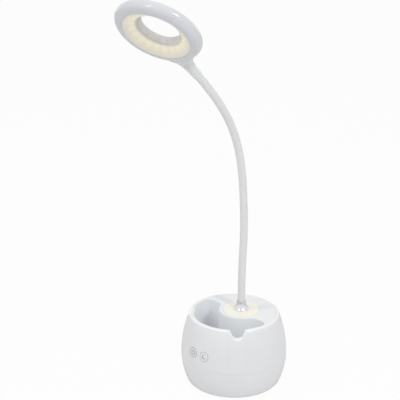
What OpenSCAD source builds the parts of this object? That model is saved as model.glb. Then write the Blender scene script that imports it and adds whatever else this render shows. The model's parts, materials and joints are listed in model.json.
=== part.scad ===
// Desk lamp: a light ring on a flexible neck, standing in a round pen pot.
// The origin is the centre of the foot on the table, the front of the pot faces -Y, up is +Z.

/* [Pot] */
// Width of the pot at its widest line, the parting line
pot_d = 110; // [106:1:118]
// Height of the rim above the table
pot_h = 76.5; // [72:0.5:90]
// Height of the parting line between bowl and upper shell
seam_z = 32; // [30:0.5:36]
// Side-view radius of the flank below the parting line
low_curve = 70; // [62:1:95]
// Side-view radius of the flank above the parting line
high_curve = 122; // [110:1:180]
// Rounding of the pot's bottom edge
foot_round = 5; // [4:0.5:7]
// Rounding of the rim's outer edge
rim_round = 2; // [1:0.25:2.5]
// Flat land of the rim inside its rounding
rim_land = 0.3; // [0.2:0.1:1]
// Wall of the two pot shells
shell_wall = 2.4; // [2:0.1:3]
// Visible gap along the parting line
seam_gap = 0.1; // [0.1:0.05:0.4]
// Height of the lap that locates the upper shell on the bowl
lap_h = 2.5; // [1.5:0.5:4]

/* [Foot and bowl] */
// Diameter of the rubber foot pad
pad_d = 80; // [60:1:84]
// Thickness of the foot pad
pad_t = 1.6; // [1.2:0.1:2.4]
// How far the foot pad stands proud of the bowl
pad_proud = 0.8; // [0.4:0.1:1]
// Thickness of the bowl's floor above the foot pad
bowl_floor = 2; // [1.6:0.1:3]
// Diameter of the steel counterweight
weight_d = 76; // [60:1:80]
// Thickness of the steel counterweight
weight_t = 5.2; // [3:0.2:7]

/* [Deck and pen cup] */
// Thickness of the deck
deck_t = 3; // [2.4:0.2:4]
// Wall of the pen cup
cup_wall = 1.6; // [1.2:0.1:2]
// Depth of the pen cup below the rim
cup_depth = 56.5; // [40:0.5:57]
// Thickness of the pen cup's floor
cup_floor = 2; // [1.6:0.2:3]
// Distance from the neck's axis forward to the line of the cup's two shoulders
shoulder_back = 5.7; // [4:0.1:9]
// Radius of the cup's two end corners
cup_end_r = 6; // [4:0.5:8]
// Radius of the corners beside the round the neck stands in
cup_side_r = 10; // [3:0.5:12]
// Width of the deck left between the night light and the cup
cup_margin = 4.4; // [3.5:0.1:6]
// Radius of the rim notches' round bottom
notch_r = 6; // [5:0.5:8]
// Depth of the rim notches
notch_depth = 8.8; // [7:0.2:12]
// Slope of the notches' sides
notch_slope = 62; // [45:1:65]
// Radius of the notches' flared shoulders
notch_flare = 4; // [3:0.5:5]
// Angle of each notch from the front
notch_angle = 50; // [35:1:60]

/* [Night light and neck foot] */
// Distance of the neck's axis behind the pot's axis
neck_y = 10.5; // [8:0.5:13]
// Diameter of the night light's diffuser
night_d = 38; // [34:1:40]
// Thickness of the night light's diffuser
night_t = 2.2; // [1.6:0.2:3]
// Depth of the light well under the deck's top
well_depth = 12.5; // [10:0.5:16]
// Height of the flared collar above the night light
collar_h = 9.3; // [7:0.1:12]
// Diameter of the collar's flared foot
collar_foot_d = 15.6; // [13:0.2:18]
// Diameter of the collar's top
collar_top_d = 9.8; // [9.4:0.2:11]
// Diameter of the collar's threaded shank
shank_d = 10; // [9:0.5:12]
// Width across the flats of the clamp nut
nut_af = 13; // [12:0.5:16]
// Thickness of the clamp nut
nut_t = 4; // [3:0.5:6]

/* [Neck] */
// Outer diameter of the silicone sleeve
sleeve_d = 8; // [7:0.2:9]
// Wall of the silicone sleeve
sleeve_wall = 0.95; // [0.8:0.05:1.2]
// Length of each of the neck's bending lengths
length_s = 30.5; // [26:0.5:34]
// Outer diameter of the steel spiral core
core_d = 5.2; // [4.4:0.2:5.6]
// Diameter of the core's bore for the leads
core_bore = 2; // [1.5:0.1:2.6]
// Clearance between one length's round top and the next one's cup
ball_gap = 0.2; // [0.1:0.05:0.3]
// Depth of the sleeve's end in the collar and in the stem
sleeve_in = 5; // [4:0.5:6]

/* [Ring head] */
// Outer diameter of the light ring
ring_d = 84.4; // [78:0.2:96]
// Diameter of the hole through the ring, at its back
hole_d = 38.4; // [32:0.2:42]
// Height of the ring's widest line above its lip
ring_mid = 7.2; // [6.6:0.1:8]
// Rounding of the ring's outer edge on the light side
ring_low_r = 7.2; // [6.6:0.1:8]
// Rounding of the ring's outer edge on the back
ring_top_r = 4.6; // [4:0.1:5.5]
// Slope of the ring's back, rising towards the hole
crown = 8; // [5:0.5:10]
// Wall of the ring's housing
ring_wall = 1.8; // [1.4:0.1:2.2]
// Width of the flat lip round the light
lip_w = 2.2; // [1.6:0.1:3]
// Slope of the collar that lines the hole, from the ring's axis
bore_slope = 21; // [15:1:24]
// Diameter of the stem's end
stem_d = 9.8; // [9.4:0.1:11]
// Distance from the ring's axis to the stem's end
stem_reach = 70.6; // [66:0.2:84]
// Radius of the fillets that flare the stem into the ring
stem_flare = 20; // [10:1:24]
// Twist of the ring about the stem
head_roll = 14; // [-60:1:60]

/* [Electronics] */
// Width of the battery cell
cell_w = 50; // [40:1:52]
// Height of the battery cell
cell_h = 34; // [25:1:36]
// Thickness of the battery cell
cell_t = 8; // [6:0.5:9]
// Width of the main board
board_w = 30; // [24:1:32]
// Height of the main board
board_h = 24; // [18:1:30]
// Thickness of the circuit boards
board_t = 1.6; // [1:0.2:1.6]
// Height of the charging socket's centre
usb_z = 19; // [17:0.5:24]
// Width of the charging socket
usb_w = 9; // [8:0.2:9.4]
// Height of the charging socket
usb_h = 3.2; // [2.6:0.1:3.6]
// Length of the charging socket
usb_len = 7.3; // [6.6:0.1:8]
// Height of the two touch keys on the front
touch_z = 46.5; // [42:0.5:50]
// Distance between the two touch keys
touch_pitch = 15; // [13:0.5:18]
// Distance of the keys' middle to the right of straight ahead
touch_right = 3; // [-4:0.5:4]
// Number of light emitters round the ring
emitters = 20; // [12:1:24]
// Number of light emitters round the night light
night_emitters = 6; // [4:1:8]

/* [Screws] */
// Diameter of the base screws
screw_d = 2.6; // [2:0.1:3]
// Diameter of the base screws' heads
screw_head_d = 5; // [4.4:0.1:5.4]
// Height of the base screws' heads
screw_head_h = 2; // [1.6:0.1:2.4]
// Diameter of the posts that take the screws
post_d = 7; // [6:0.2:7.4]

/* [Hidden] */
$fn = 96;
over = 1;            // overshoot of every cut past the face that it opens
fit = 0.15;          // radial clearance of parts that drop into each other
bind = 0.05;         // radial clearance of threads and crimps
nip = 0.05;          // how far a rounding cuts into the face or round that it runs into

// Lean of the neck from upright, towards the front, at the foot and after each length
lean = [0, -1, -4, 1, 4, 9, 20, 32, 40, 44];
lengths = len(lean) - 1;

// ---- sizes worked out from the ones above ----

// Radius of the pot's flank at a height, or of a surface parallel to it and inset from it
function flank_r(z, inset = 0) =
    z < seam_z
        ? pot_d / 2 - low_curve + sqrt(pow(low_curve - inset, 2) - pow(seam_z - z, 2))
        : pot_d / 2 - high_curve + sqrt(pow(high_curve - inset, 2) - pow(z - seam_z, 2));

bowl_z = pad_proud;                                // underside of the bowl
floor_z = pad_t + bowl_floor;                      // top of the bowl's floor
weight_z = floor_z + weight_t;                     // top of the counterweight
boss_rise = 3.4;                                   // the bowl's screw bosses above the counterweight
boss_z = weight_z + boss_rise;                     // top of the bowl's screw bosses
seat_rise = 2.2;                                   // floor left under the screws' heads
screw_seat = floor_z + seat_rise;                  // where the screws' heads bear
opening_r = flank_r(pot_h) - rim_round - rim_land; // hole in the top of the upper shell
insert_r = opening_r - fit;                        // outer radius of deck and cup
cup_r = insert_r - cup_wall;
cup_z = pot_h - cup_depth;                         // inside floor of the cup
shoulder_y = neck_y - shoulder_back;
bump_r = night_d / 2 + cup_margin;                 // round of the deck that the neck stands in
deck_z = pot_h - deck_t;
notch_run_in = 4;                                  // how far inside the cup the notches' cut starts
flare_lift = 0.5;                                  // the flares' tops above the rim, for a crisp edge

ledge_w = 2.4;                                     // seat of the deck inside the upper shell
ledge_t = 2;
band_z = min(deck_z - ledge_t - fit, pot_h - notch_depth - shell_wall); // underside of the thick rim
post_reach = insert_r - ledge_w - post_d / 2 - 0.8;
post_sink = 0.5;                                   // how far a post runs into what carries it
screw_top = cup_z - cup_floor + 0.6;               // the screws' tips, inside the cup's floor
rear_post_angle = 36;                              // from straight back
front_post_angle = 43;                             // from straight ahead
post_places = [for (side = [-1, 1])
    each [[side * rear_post_angle, 1], [side * front_post_angle, -1]]];

well_r = night_d / 2 - 1.4;
well_wall_r = night_d / 2 + 1.5;
well_z = pot_h - well_depth;                       // top of the light well's floor
well_floor = 2;
night_z = pot_h - night_t + 0.2;                   // underside of the night light's diffuser
collar_z = night_z + night_t;                      // the collar's foot stands on the diffuser
collar_top = collar_z + collar_h;
shank_end = well_z - well_floor - nut_t - 0.6;
emitter = [3.5, 2.8, 0.8];                         // one light emitter
night_emitter_r = well_r - 6;                      // radius of the emitters' centres in the well

holder_wall = 1.2;                                 // wall of the battery holder
holder_gap = 1.4;                                  // from the cup to the battery holder
cell_y = shoulder_y + cup_wall + holder_gap + holder_wall + fit + cell_t / 2;
usb_face = flank_r(usb_z) - 0.6;                   // mouth of the charging socket
board_back = usb_face - usb_len;                   // face of the main board that carries it
board_lift = 6.4;                                  // the main board above the bowl's floor
board_z = floor_z + board_lift;                    // lower edge of the main board

touch_h = 15;                                      // height of the touch board
touch_margin = 5.5;                                // from a key's middle to the board's end
touch_w = touch_pitch + 2 * touch_margin;
touch_end = touch_w / 2 + abs(touch_right);        // the board's end that is further out
touch_face = sqrt(pow(flank_r(touch_z + touch_h / 2, shell_wall), 2) - pow(touch_end, 2)) - 0.6;
key_pad_r = 4;                                     // conductive pads behind the keys

neck_z = collar_top - sleeve_in;                   // foot of the first length
core_r = core_d / 2;
sleeve_bore_r = sleeve_d / 2 - sleeve_wall;
ball_start = core_r;                               // where a length's tube starts above its joint
ferrule_wall = 0.55;
ferrule_r = core_r + bind + ferrule_wall;
ferrule_len = 12;
core_foot = neck_z - shank_end - 0.4;              // how far the core reaches down the shank
core_head = 18;                                    // and up into the stem
ball_r = core_r - 0.1;                             // round top of each length
plug_h = 1;                                        // its plug in the tube's end
plug_bore_r = core_bore / 2 + 0.2;

// ring sections are drawn with x out from the ring's axis and y up from its lip
ring_r = ring_d / 2;
hole_r = hole_d / 2;
top_centre_r = ring_r - ring_top_r;
low_centre_r = ring_r - ring_low_r;
collar_t = 1.4;                                    // wall of the inner collar
light_t = 1.4;                                     // wall of the ring's diffuser
ring_back = crown_y(hole_r, 0);                    // height of the ring's back at the hole
light_r = low_centre_r - lip_w;                    // outer radius of the diffuser
led_board_t = 1.2;                                 // the ring's circuit board
led_board_r = light_r - 1.8;
board_slack = 0.3;                                 // between that board and the housing's back
flange_t = 0.8;                                    // seat of the board on the inner collar
flange_w = 1.8;
led_board_y = crown_y(led_board_r, ring_wall) - board_slack - led_board_t;
light_top = led_board_y - flange_t - fit;          // height of the diffuser's inner edge
emitter_r = bore_r(light_top) + 5.5;               // radius of the emitters' centres on the board

// Height of the ring's sloping back at a radius, or of a surface parallel to it
function crown_y(r, inset) =
    ring_mid + (ring_top_r - inset - sin(crown) * (r - top_centre_r)) / cos(crown);
// Radius of the lined hole at a height above the lip, or of a cone parallel to it
function bore_r(y, grow = 0) = hole_r + (ring_back - y) * tan(bore_slope) + grow / cos(bore_slope);

section_r = hole_r - 6;                            // the ring's sections are drawn in to this radius

// ---- shared shapes ----

module slot_2d(w, h) {
    for (side = [-1, 1]) translate([side * (w - h) / 2, 0]) circle(d = h);
    square([w - h, h], center = true);
}

// Half section of the pot's outer form, or of a form inset from it, between two heights
module barrel_2d(inset, z_low, z_high) {
    if (z_low < seam_z)
        intersection() {
            translate([pot_d / 2 - low_curve, seam_z]) circle(low_curve - inset);
            translate([0, z_low]) square([pot_d, min(seam_z, z_high) - z_low]);
        }
    if (z_high > seam_z)
        intersection() {
            translate([pot_d / 2 - high_curve, seam_z]) circle(high_curve - inset);
            translate([0, max(seam_z, z_low)]) square([pot_d, z_high - max(seam_z, z_low)]);
        }
}

// Keeps a round edge of radius r whose centre is at [x, z]; the mask reaches to both tangents
module round_edge_mask(x, z, r, side, tangent) {
    difference() {
        polygon([[x, z], [x, z + side * 3 * r], [x + 3 * r, z + side * 3 * r],
                 [x + 3 * r * cos(tangent), z + side * 3 * r * sin(tangent)]]);
        translate([x, z]) circle(r);
    }
}

// Outer form of the pot between two heights, with its bottom edge and rim rounded
module pot_outer_2d(z_low, z_high) {
    foot_z = bowl_z + foot_round;
    foot_x = pot_d / 2 - low_curve
        + sqrt(pow(low_curve - foot_round, 2) - pow(seam_z - foot_z, 2));
    foot_tangent = asin((seam_z - foot_z) / (low_curve - foot_round));
    rim_z = pot_h - rim_round;
    rim_x = pot_d / 2 - high_curve
        + sqrt(pow(high_curve - rim_round, 2) - pow(rim_z - seam_z, 2));
    rim_tangent = asin((rim_z - seam_z) / (high_curve - rim_round));
    difference() {
        barrel_2d(0, z_low, z_high);
        if (z_low < foot_z) round_edge_mask(foot_x, foot_z, foot_round, -1, foot_tangent);
        if (z_high > rim_z) round_edge_mask(rim_x, rim_z, rim_round, 1, rim_tangent);
    }
}

// Plan of the crescent cup, or of its outside when grown by the wall, with its end corners sharp
module crescent_2d(grow = 0) {
    end_y = shoulder_y - cup_end_r;
    end_x = sqrt(pow(cup_r - cup_end_r, 2) - pow(end_y, 2));
    side_y = shoulder_y - cup_side_r;
    side_x = sqrt(pow(bump_r + cup_side_r - nip, 2) - pow(neck_y - side_y, 2));
    difference() {
        circle(cup_r + grow);
        translate([-pot_d, shoulder_y + grow]) square([2 * pot_d, pot_d]);
        translate([0, neck_y]) circle(bump_r - grow);
        for (side = [-1, 1]) scale([side, 1]) {
            if (grow == 0)
                difference() {
                    polygon([[end_x, end_y], [end_x, end_y + pot_d], [end_x + pot_d, end_y + pot_d],
                             [end_x * 3, end_y * 3]]);
                    translate([end_x, end_y]) circle(cup_end_r);
                }
            difference() {
                polygon([[side_x, side_y], [0, neck_y], [0, neck_y + pot_d],
                         [side_x, side_y + pot_d]]);
                translate([side_x, side_y]) circle(cup_side_r + grow);
            }
        }
    }
}

// Cuts the two notches through rim and cup wall: round bottom, sloping sides, flared shoulders
module rim_notches() {
    bottom_z = pot_h - notch_depth + notch_r;
    flare_z = pot_h - notch_flare + flare_lift;
    low_r = notch_r - nip;
    high_r = notch_flare - nip;
    low = [low_r * sin(notch_slope), bottom_z - low_r * cos(notch_slope)];
    high_z = flare_z + high_r * cos(notch_slope);
    high_x = low[0] + (high_z - low[1]) / tan(notch_slope);
    flare_x = high_x + high_r * sin(notch_slope);
    for (side = [-1, 1])
        rotate([0, 0, side * notch_angle])
            translate([0, -cup_r + notch_run_in, 0])
                rotate([90, 0, 0])
                    linear_extrude(pot_d / 2) {
                        translate([0, bottom_z]) circle(notch_r);
                        difference() {
                            polygon([[0, bottom_z], low, [high_x, high_z], [flare_x, flare_z],
                                     [flare_x, pot_h + over], [-flare_x, pot_h + over],
                                     [-flare_x, flare_z], [-high_x, high_z], [-low[0], low[1]]]);
                            for (edge = [-1, 1])
                                translate([edge * flare_x, flare_z]) circle(notch_flare);
                        }
                    }
}

module at_posts() {
    for (p = post_places)
        translate([post_reach * sin(p[0]), p[1] * post_reach * cos(p[0]), 0]) children();
}

module tube(r_out, r_in, z_low, z_high) {
    translate([0, 0, z_low])
        difference() {
            cylinder(r = r_out, h = z_high - z_low);
            translate([0, 0, -over]) cylinder(r = r_in, h = z_high - z_low + 2 * over);
        }
}

// ---- pot ----

module base_upper_shell() {
    color([0.93, 0.94, 0.95])
        difference() {
            union() {
                rotate_extrude()
                    difference() {
                        pot_outer_2d(seam_z + seam_gap / 2, pot_h);
                        barrel_2d(shell_wall, seam_z - over, band_z);
                        barrel_2d(shell_wall / 2 - fit / 2, seam_z - over, seam_z + lap_h);
                        translate([0, seam_z - over]) square([opening_r, pot_h]);
                    }
                deck_ledge();
            }
            rim_notches();
        }
}

// The ledge that carries the deck, behind the cup only
module deck_ledge() {
    ledge_z = deck_z - ledge_t - fit / 3;
    intersection() {
        tube(flank_r(deck_z, shell_wall / 2), insert_r - ledge_w, ledge_z, deck_z - fit / 3);
        translate([-pot_d, shoulder_y + cup_wall + 2, ledge_z - over])
            cube([2 * pot_d, pot_d, ledge_t + 2 * over]);
    }
}

module base_lower_bowl() {
    usb_slack = 0.3;
    color([0.90, 0.91, 0.92])
        difference() {
            union() {
                rotate_extrude()
                    difference() {
                        pot_outer_2d(bowl_z, seam_z - seam_gap / 2);
                        barrel_2d(shell_wall, floor_z, seam_z + over);
                    }
                rotate_extrude()
                    difference() {
                        barrel_2d(shell_wall / 2 + fit / 2, seam_z - over, seam_z + lap_h - fit);
                        barrel_2d(shell_wall, seam_z - 2 * over, seam_z + lap_h + over);
                    }
                at_posts() translate([0, 0, bowl_z + over])
                    cylinder(d = post_d, h = boss_z - bowl_z - over);
                board_guides();
            }
            translate([0, 0, bowl_z - over]) cylinder(d = pad_d + 2 * fit, h = pad_t - bowl_z + over);
            at_posts() {
                translate([0, 0, bowl_z - over])
                    cylinder(d = screw_head_d + 2 * fit, h = screw_seat - bowl_z + over);
                cylinder(d = screw_d + 2 * fit, h = boss_z + over);
            }
            translate([0, usb_face - usb_len, usb_z])
                rotate([-90, 0, 0])
                    linear_extrude(usb_len + 5) slot_2d(usb_w + 2 * usb_slack, usb_h + 2 * usb_slack);
        }
}

// Two slotted uprights on the bowl's floor that hold the main board by its edges
module board_guides() {
    guide_w = 4;
    grip = 1.6;
    cheek = 1.4;
    hold = 6;
    intersection() {
        for (side = [-1, 1])
            difference() {
                translate([side * (board_w / 2 + guide_w / 2 - grip) - guide_w / 2,
                           board_back - board_t - cheek, bowl_z + over])
                    cube([guide_w, board_t + 2 * cheek, board_z + hold - bowl_z - over]);
                translate([side * (board_w / 2 + fit) - (side > 0 ? guide_w + grip : 0),
                           board_back - board_t - bind, board_z - bind])
                    cube([guide_w + grip, board_t + 2 * bind, board_h]);
            }
        rotate_extrude() barrel_2d(shell_wall / 2, bowl_z, seam_z);
    }
}

module foot_pad() {
    color([0.35, 0.36, 0.37])
        cylinder(d = pad_d, h = pad_t);
}

module counterweight() {
    color([0.55, 0.56, 0.58])
        difference() {
            translate([0, 0, floor_z]) cylinder(d = weight_d, h = weight_t);
            at_posts() cylinder(d = post_d + 4 * fit, h = weight_z + over);
        }
}

module base_screws() {
    color([0.62, 0.62, 0.64])
        at_posts() {
            translate([0, 0, screw_seat - screw_head_h])
                difference() {
                    cylinder(d = screw_head_d, h = screw_head_h);
                    translate([-screw_head_d / 2, -0.4, -over]) cube([screw_head_d, 0.8, over + 0.7]);
                    translate([-0.4, -screw_head_d / 2, -over]) cube([0.8, screw_head_d, over + 0.7]);
                }
            translate([0, 0, screw_seat - bind])
                cylinder(d = screw_d, h = screw_top - screw_seat + bind);
        }
}

module deck_and_cup() {
    color([0.94, 0.95, 0.95])
        difference() {
            union() {
                translate([0, 0, deck_z]) cylinder(r = insert_r, h = deck_t);
                translate([0, 0, cup_z - cup_floor])
                    linear_extrude(pot_h - cup_z + cup_floor) crescent_2d(cup_wall);
                translate([0, neck_y, well_z - well_floor])
                    cylinder(r = well_wall_r, h = pot_h - well_z + well_floor);
                deck_posts();
            }
            translate([0, 0, cup_z]) linear_extrude(pot_h) crescent_2d();
            translate([0, neck_y, well_z]) cylinder(r = well_r, h = pot_h);
            translate([0, neck_y, night_z]) cylinder(d = night_d + 2 * fit, h = pot_h);
            translate([0, neck_y, 0]) cylinder(d = shank_d + 2 * fit, h = pot_h);
            at_posts() translate([0, 0, boss_z - over])
                cylinder(d = screw_d + 2 * bind, h = screw_top + 0.2 - boss_z + over);
            rim_notches();
        }
}

// Posts that stand on the bowl's bosses: two from the deck, two from the cup's floor
module deck_posts() {
    for (p = post_places)
        translate([post_reach * sin(p[0]), p[1] * post_reach * cos(p[0]), boss_z + bind])
            cylinder(d = post_d, h = (p[1] > 0 ? deck_z : cup_z - cup_floor) + post_sink - boss_z);
}

// ---- night light and the neck's foot ----

module night_light_diffuser() {
    color([0.97, 0.96, 0.90])
        translate([0, neck_y, 0])
            tube(night_d / 2, shank_d / 2 + fit, night_z, collar_z);
}

module night_light_board() {
    color([0.90, 0.92, 0.90])
        translate([0, neck_y, 0])
            tube(well_r - fit, shank_d / 2 + 2 * fit, well_z, well_z + led_board_t);
}

module night_light_leds() {
    color([0.98, 0.93, 0.65])
        translate([0, neck_y, well_z + led_board_t])
            for (k = [0 : night_emitters - 1])
                rotate([0, 0, k * 360 / night_emitters])
                    translate([night_emitter_r - emitter[0] / 2, -emitter[1] / 2, 0]) cube(emitter);
}

module neck_collar() {
    foot_h = 0.8;
    rise = collar_h - foot_h;
    narrowing = (collar_foot_d - collar_top_d) / 2;
    flare_r = (pow(narrowing, 2) + pow(rise, 2)) / (2 * narrowing);
    color([0.80, 0.80, 0.83])
        translate([0, neck_y, 0])
            rotate_extrude()
                difference() {
                    union() {
                        translate([0, collar_z]) square([collar_foot_d / 2, collar_h]);
                        translate([0, shank_end]) square([shank_d / 2, collar_z - shank_end]);
                    }
                    translate([collar_top_d / 2 + flare_r, collar_top]) circle(flare_r, $fn = 192);
                    translate([0, neck_z]) square([sleeve_d / 2 + fit, collar_h]);
                    translate([0, shank_end - over]) square([ferrule_r + bind, collar_top]);
                }
}

module neck_clamp_nut() {
    color([0.70, 0.66, 0.52])
        translate([0, neck_y, well_z - well_floor - nut_t])
            difference() {
                cylinder(d = nut_af / cos(30), h = nut_t, $fn = 6);
                translate([0, 0, -over]) cylinder(r = shank_d / 2 + bind, h = nut_t + 2 * over);
            }
}

module lower_ferrule() {
    color([0.72, 0.68, 0.55])
        translate([0, neck_y, 0])
            tube(ferrule_r, core_r + bind, shank_end + 1, shank_end + 1 + ferrule_len);
}

// ---- electronics in the base ----

module battery_holder() {
    wall = holder_wall;
    lip_h = 9;
    color([0.20, 0.21, 0.23])
        translate([-cell_w / 2, cell_y - cell_t / 2 - fit - wall, weight_z])
            difference() {
                cube([cell_w, cell_t + 2 * fit + 2 * wall, wall + lip_h]);
                translate([-over, wall, wall]) cube([cell_w + 2 * over, cell_t + 2 * fit, lip_h + over]);
                translate([cell_w / 4, -over, wall + 3])
                    cube([cell_w / 2, cell_t + 2 * fit + 2 * wall + 2 * over, lip_h]);
            }
}

module battery_cell() {
    color([0.45, 0.60, 0.72])
        translate([-cell_w / 2, cell_y, weight_z + holder_wall])
            rotate([90, 0, 90])
                linear_extrude(cell_w)
                    translate([0, cell_h / 2]) rotate([0, 0, 90]) slot_2d(cell_h, cell_t);
}

module main_board() {
    color([0.16, 0.42, 0.28])
        translate([-board_w / 2, board_back - board_t, board_z]) cube([board_w, board_t, board_h]);
}

module usb_socket() {
    shell_t = 0.35;
    tongue = [usb_w - 2.4, usb_len - 1.6, 0.7];
    color([0.75, 0.76, 0.78])
        translate([0, board_back, usb_z])
            rotate([-90, 0, 0]) {
                difference() {
                    linear_extrude(usb_len) slot_2d(usb_w, usb_h);
                    translate([0, 0, 1])
                        linear_extrude(usb_len) slot_2d(usb_w - 2 * shell_t, usb_h - 2 * shell_t);
                }
                translate([-tongue[0] / 2, -tongue[2] / 2, 0.5]) cube([tongue[0], tongue[2], tongue[1]]);
            }
}

module touch_board() {
    color([0.16, 0.42, 0.28])
        translate([touch_right - touch_w / 2, -touch_face, touch_z - touch_h / 2])
            cube([touch_w, board_t, touch_h]);
}

// Distance from the pot's axis plane to the shell's inside, at a height and a distance across
function wall_y(z, x) = sqrt(pow(flank_r(z, shell_wall), 2) - pow(x, 2));

// Conductive pads that carry the touch from the shell's inside to the board
module touch_pads() {
    color([0.30, 0.30, 0.32])
        for (side = [-1, 1]) let (x = touch_right + side * touch_pitch / 2, edge = abs(x) + key_pad_r)
            translate([x, -touch_face, touch_z])
                rotate([90, 0, 0])
                    cylinder(r = key_pad_r, h = wall_y(touch_z + key_pad_r, edge) - 0.1 - touch_face);
}

// ---- neck ----

function bend(k) = lean[k] - lean[k - 1];

// Frame at the end of length k, built up from the neck's foot
module at_station(k) {
    if (k == 0)
        translate([0, neck_y, neck_z]) children();
    else
        at_station(k - 1) past_length(k) children();
}

module past_length(k) {
    turn_r = length_s / (bend(k) * PI / 180);
    if (bend(k) == 0)
        translate([0, 0, length_s]) children();
    else
        translate([0, -turn_r * (1 - cos(bend(k))), turn_r * sin(bend(k))])
            rotate([bend(k), 0, 0]) children();
}

// Sweeps a section along length k, from a distance above its start to its end
module sweep_length(k, start = 0) {
    turn_r = length_s / (abs(bend(k)) * PI / 180);
    start_angle = abs(bend(k)) * start / length_s;
    if (bend(k) == 0)
        translate([0, 0, start]) linear_extrude(length_s - start) children();
    else
        mirror([0, bend(k) < 0 ? 1 : 0, 0])
            translate([0, -turn_r, 0])
                rotate([90, 0, 90])
                    rotate([0, 0, start_angle])
                        rotate_extrude(angle = abs(bend(k)) - start_angle)
                            translate([turn_r, 0]) children();
}

// Round top of a length, plugged into the end of its tube
module ball_top() {
    rotate_extrude()
        difference() {
            intersection() {
                union() {
                    circle(ball_r);
                    translate([0, -plug_h]) square([ball_r, plug_h]);
                }
                translate([0, -plug_h]) square([ball_r, ball_r + plug_h]);
            }
            translate([0, -2 * plug_h]) square([plug_bore_r, 2 * core_r + 2 * plug_h]);
        }
}

module core_2d() {
    difference() {
        circle(core_r);
        circle(d = core_bore);
    }
}

// One length of the steel spiral core: a tube with a cup below and a round top above
module neck_core(k) {
    color([0.60, 0.61, 0.63]) {
        difference() {
            union() {
                at_station(k - 1) sweep_length(k, k == 1 ? 0 : ball_start) core_2d();
                if (k == 1) at_station(0) tube(core_r, core_bore / 2, -core_foot, 0);
                if (k == lengths) at_station(k)
                    tube(core_r - bind, core_bore / 2 + bind, 0, core_head);
            }
            if (k > 1) at_station(k - 1) sphere(ball_r + ball_gap);
        }
        if (k < lengths) at_station(k) ball_top();
    }
}

module neck_sleeve(k) {
    color([0.86, 0.87, 0.87]) {
        at_station(k - 1) sweep_length(k)
            difference() {
                circle(d = sleeve_d);
                circle(sleeve_bore_r);
            }
        if (k == lengths) at_station(k) tube(sleeve_d / 2 - bind, sleeve_bore_r + bind, 0, sleeve_in);
    }
}

// ---- ring head ----

// Frame of the ring: its lip lies in the plane z = 0, its back faces +Z, its stem runs along +X
module at_ring() {
    at_station(lengths)
        rotate([0, 0, head_roll])
            translate([0, 0, stem_reach])
                rotate([-90, 90, 0])
                    translate([0, 0, -ring_mid]) children();
}

// Section of the ring, or of a form inset from it
module ring_2d(inset) {
    top_x = top_centre_r + (ring_top_r - inset) * sin(crown);
    top_y = ring_mid + (ring_top_r - inset) * cos(crown);
    translate([top_centre_r, ring_mid]) circle(ring_top_r - inset);
    intersection() {
        translate([low_centre_r, ring_low_r]) circle(ring_low_r - inset);
        square([ring_r, ring_mid]);
    }
    polygon([[section_r, inset], [low_centre_r, inset], [low_centre_r, ring_mid],
             [top_centre_r, ring_mid], [top_x, top_y], [section_r, crown_y(section_r, inset)]]);
}

module cone_side_2d(grow) {
    polygon([[0, -over], [bore_r(-over, grow), -over], [bore_r(ring_back + over, grow), ring_back + over],
             [0, ring_back + over]]);
}

module head_housing() {
    color([0.84, 0.85, 0.87])
        difference() {
            at_ring() {
                rotate_extrude() difference() {
                    ring_2d(0);
                    cone_side_2d(collar_t + fit);
                }
                translate([0, 0, ring_mid]) stem();
            }
            at_ring() {
                rotate_extrude() intersection() {
                    ring_2d(ring_wall);
                    translate([section_r, -over]) square([ring_r, ring_back - ring_wall]);
                }
                translate([0, 0, -over]) cylinder(r = light_r + fit, h = ring_wall + 2 * over);
                translate([0, 0, ring_mid]) rotate([0, 90, 0]) stem_bores();
            }
        }
}

module stem_bores() {
    cylinder(d = core_bore + 1, h = stem_reach);
    translate([0, 0, stem_reach - core_head - 0.5]) cylinder(r = ferrule_r + bind, h = core_head + 0.5);
    translate([0, 0, stem_reach - sleeve_in]) cylinder(r = sleeve_d / 2 + fit, h = sleeve_in + over);
}

// The stem: constant in thickness, flared in plan by two fillets that run out on the ring
module stem() {
    end_r = stem_d / 2;
    fillet_y = end_r + stem_flare;
    fillet_x = sqrt(pow(ring_r + stem_flare, 2) - pow(fillet_y, 2));
    run_out = asin(fillet_x / (ring_r + stem_flare));
    steps = 8;
    sides = 32;
    flare = [for (i = [0 : steps]) let (a = run_out * (1 - i / steps))
        [fillet_x - stem_flare * sin(a), fillet_y - stem_flare * cos(a), 2 + 0.8 * sin(a)]];
    rows = concat([[low_centre_r - ring_wall, flare[0][1], flare[0][2]]], flare,
        [[stem_reach, end_r, 2]]);
    points = [for (row = rows) each [for (j = [0 : sides - 1]) let (a = 360 * j / sides)
        [row[0],
         row[1] * sign(cos(a)) * pow(abs(cos(a)), 2 / row[2]),
         end_r * sign(sin(a)) * pow(abs(sin(a)), 2 / row[2])]]];
    last = len(rows) - 1;
    faces = concat(
        [[for (j = [0 : sides - 1]) j]],
        [[for (j = [0 : sides - 1]) last * sides + sides - 1 - j]],
        [for (i = [0 : last - 1]) each [for (j = [0 : sides - 1])
            let (a = i * sides + j, b = i * sides + (j + 1) % sides)
            each [[a, a + sides, b + sides], [a, b + sides, b]]]]);
    polyhedron(points, faces);
}

module head_inner_collar() {
    flange_y = led_board_y - flange_t;
    color([0.76, 0.75, 0.73])
        at_ring()
            rotate_extrude() {
                polygon([[bore_r(light_top + bind, 0), light_top + bind],
                         [bore_r(light_top + bind, collar_t), light_top + bind],
                         [bore_r(ring_back, collar_t), ring_back],
                         [hole_r, ring_back]]);
                translate([bore_r(flange_y, collar_t / 2), flange_y])
                    square([flange_w + collar_t / 2, led_board_y - flange_y]);
            }
}

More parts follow.
